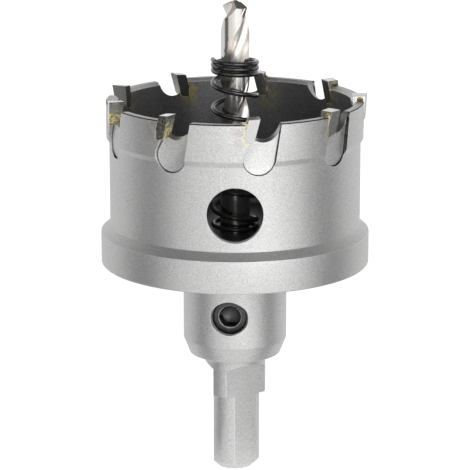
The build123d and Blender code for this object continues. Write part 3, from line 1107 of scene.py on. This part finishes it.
def socket_screw():
    """Socket set screw: a chamfered bar with a hexagonal socket, its mouth and its drilled bottom."""
    top = screw_length
    chamfer_radius = screw_radius - screw_chamfer
    section = [
        (0, 0),
        (chamfer_radius, 0),
        (screw_radius, screw_chamfer),
        (screw_radius, top - screw_chamfer),
        (chamfer_radius + screw_lip, top - screw_lip_drop),
        (chamfer_radius - screw_lip / 2, top),
        (0, top),
    ]
    piece = lathed("screw", section)
    piece.data.materials.append(oxide_look)
    flat_to_axis = screw_socket_width / 2
    floor = top - screw_socket_depth
    hexagon = arc_points((0, 0), flat_to_axis / cos(pi / 6), 0, 2 * pi, steps=6)[:-1]
    drilled = [
        (0, floor - screw_drill_radius / tan(screw_drill_slope)),
        (screw_drill_radius, floor),
        (screw_drill_radius, floor + screw_drill_step),
        (0, floor + screw_drill_step),
    ]
    worn_radius = screw_mouth_radius - screw_worn_width
    above = 0.5
    mouth = [
        (0, top - screw_mouth_radius + flat_to_axis),
        (flat_to_axis, top - screw_mouth_radius + flat_to_axis),
        (worn_radius, top - screw_worn_width),
        (screw_mouth_radius + above, top + above),
        (0, top + above),
    ]
    socket = draw_plate("socket", [(x, y, floor) for x, y in hexagon], (0, 0, screw_socket_depth + 1))
    for cutter in (socket, lathed("drilled", drilled), lathed("mouth", mouth)):
        cutter.data.materials.append(oxide_look)
        cutter.data.materials.append(worn_look)
        for face in cutter.data.polygons:
            face.material_index = 1 if face.center.xy.length > worn_radius else 0
        cut(piece, cutter)
    into_hole(piece, screw_seat)
    smooth(piece, angle=30)
    finish_piece(piece, "socket_screw", ["grub_screw"])


# Ejector spring.


def spring_pitch(turn):
    """Rise for one turn at a place along the wire, counted in turns from the top."""
    open_turns = spring_turns - top_closed_turns - bottom_closed_turns
    drop = spring_high.z - spring_low.z - 2 * wire_radius
    open_pitch = (drop - closed_pitch * (spring_turns - open_turns)) / open_turns

    def ramp(along):
        share = min(max(along / spring_ramp + 0.5, 0), 1)
        return share * share * (3 - 2 * share)

    opening = ramp(turn - top_closed_turns)
    closing = ramp(spring_turns - bottom_closed_turns - turn)
    return closed_pitch + (open_pitch - closed_pitch) * opening * closing


def coil_spring():
    """Left-hand coil of round black wire, as a curve turned into a mesh."""
    deselect()
    bpy.ops.curve.primitive_nurbs_path_add()
    path = bpy.context.object
    path.data.splines.clear()
    spline = path.data.splines.new("NURBS")
    spline.points.add(int(spring_turns * spring_steps))
    height = spring_high.z - wire_radius
    for index, point in enumerate(spline.points):
        turn = index / spring_steps
        angle = spring_start + 2 * pi * turn
        point.co = (coil_radius * sin(angle), -coil_radius * cos(angle), height, 1)
        height -= spring_pitch(turn + 0.5 / spring_steps) / spring_steps
    spline.order_u = 4
    spline.use_endpoint_u = True
    spline.resolution_u = 2
    path.data.dimensions = "3D"
    path.data.bevel_depth = wire_radius
    path.data.bevel_resolution = 6
    path.data.use_fill_caps = True
    make_active(path)
    bpy.ops.object.convert(target="MESH")
    piece = bpy.context.object
    smooth(piece, angle=40)
    piece.data.materials.clear()
    piece.data.materials.append(spring_look)
    finish_piece(piece, "coil_spring", ["ejector_spring"])


saw_body()
ground_tips()
twist_drill()
coil_spring()
socket_screw()

for number in range(1, tooth_count + 1):
    nodes[f"braze_seam_{number}"].material_slots[0].material = braze_look


# Camera at the photograph's viewing angle.
image_size = 470
focal_pixels = 2600
camera_distance = 0.5275
camera_pitch = radians(14.13)
aim_height = 0.0488

bpy.ops.object.camera_add()
camera = bpy.context.object
camera.data.sensor_width = 36
camera.data.lens = focal_pixels / image_size * camera.data.sensor_width
camera.location = (0, -camera_distance * cos(camera_pitch), aim_height + camera_distance * sin(camera_pitch))
camera.rotation_euler = (pi / 2 - camera_pitch, 0, 0)
bpy.context.scene.camera = camera
bpy.context.scene.view_settings.view_transform = "Standard"


# Floor, world and lamps. The ceiling's darkness starts and is full at two heights of a unit sphere, and
# a card has three stations, each a distance beside the axis and a height, in metres.
floor_radius = 1.6
floor_white = 0.75
floor_glow = 0.45
world_level = 1.0
ceiling_level = 0.08
ceiling_start = 0.30
ceiling_full = 0.85
card_stations = [(0.012, 0.0005), (0.07, 0.002), (0.26, 0.30)]
card_tone = 0.16


def pale_floor():
    """A pale disc whose far parts join the white ground, and which keeps the saw's shadow."""
    deselect()
    bpy.ops.mesh.primitive_circle_add(vertices=96, radius=floor_radius, fill_type="NGON")
    floor = bpy.context.object
    floor.name = "floor"
    pale = Shader("pale_floor", (0.86, 0.86, 0.86), 0.0, 0.9)
    pale.surface.inputs["Specular IOR Level"].default_value = 0.1
    pale.surface.inputs["Emission Color"].default_value = (1, 1, 1, 1)
    rays = pale.add("ShaderNodeLightPath").outputs
    seen = pale.math("MULTIPLY", rays["Is Camera Ray"], floor_white)
    mirrored = pale.math("MULTIPLY", rays["Is Glossy Ray"], floor_glow)
    pale.link(pale.math("ADD", seen, mirrored), pale.surface.inputs["Emission Strength"])
    floor.data.materials.append(pale.material)


def studio_world():
    """White ground for the camera, and a soft studio that darkens overhead for everything else."""
    world = bpy.data.worlds.new("studio")
    bpy.context.scene.world = world
    world.use_nodes = True
    tree = world.node_tree
    background = tree.nodes["Background"]
    coordinates = tree.nodes.new("ShaderNodeTexCoord")
    parts = tree.nodes.new("ShaderNodeSeparateXYZ")
    tree.links.new(coordinates.outputs["Generated"], parts.inputs["Vector"])
    height = tree.nodes.new("ShaderNodeMapRange")
    height.interpolation_type = "SMOOTHSTEP"
    height.inputs["From Min"].default_value = ceiling_start
    height.inputs["From Max"].default_value = ceiling_full
    height.inputs["To Min"].default_value = world_level
    height.inputs["To Max"].default_value = ceiling_level
    tree.links.new(parts.outputs["Z"], height.inputs["Value"])
    rays = tree.nodes.new("ShaderNodeLightPath")
    chosen = tree.nodes.new("ShaderNodeMix")
    chosen.data_type = "FLOAT"
    tree.links.new(rays.outputs["Is Camera Ray"], chosen.inputs[0])
    tree.links.new(height.outputs["Result"], chosen.inputs[2])
    chosen.inputs[3].default_value = 1.0
    background.inputs["Color"].default_value = (1, 1, 1, 1)
    tree.links.new(chosen.outputs[0], background.inputs["Strength"])


def soft_lamp(name, azimuth, elevation, distance, size, power):
    """A square soft box that looks at the saw, its direction counted from the front."""
    turned, raised = radians(azimuth), radians(elevation)
    away = Vector((sin(turned) * cos(raised), -cos(turned) * cos(raised), sin(raised)))
    bpy.ops.object.light_add(type="AREA", location=Vector((0, 0, aim_height)) + away * distance)
    lamp = bpy.context.object
    lamp.name = name
    lamp.data.shape = "SQUARE"
    lamp.data.size = size
    lamp.data.energy = power
    lamp.rotation_euler = away.to_track_quat("Z", "Y").to_euler()
    lamp.visible_camera = False


def dark_card(name, side, front, back):
    """A dark card beside the saw, out of view, that shades its flanks as in a product studio. It spreads
    with the distance from the axis, to given shares of it in front and behind."""
    deselect()
    bpy.ops.mesh.primitive_grid_add(x_subdivisions=2, y_subdivisions=1, size=1)
    card = bpy.context.object
    card.name = name
    for vertex in card.data.vertices:
        away, height = card_stations[round(2 * (vertex.co.x + 0.5))]
        depth = away * (back if vertex.co.y > 0 else -front)
        vertex.co = (side * away, depth, height)
    card.data.materials.append(Shader("dark_card", (card_tone, card_tone, card_tone), 0.0, 0.5).material)
    card.visible_camera = False
    card.visible_diffuse = False
    card.visible_shadow = False


pale_floor()
studio_world()
soft_lamp("key", azimuth=20, elevation=22, distance=0.75, size=0.5, power=2.2)
dark_card("card_left", side=-1, front=0.72, back=-0.03)
dark_card("card_right", side=1, front=0.60, back=0.04)


# The view layer is brought up to date.
bpy.context.view_layer.update()
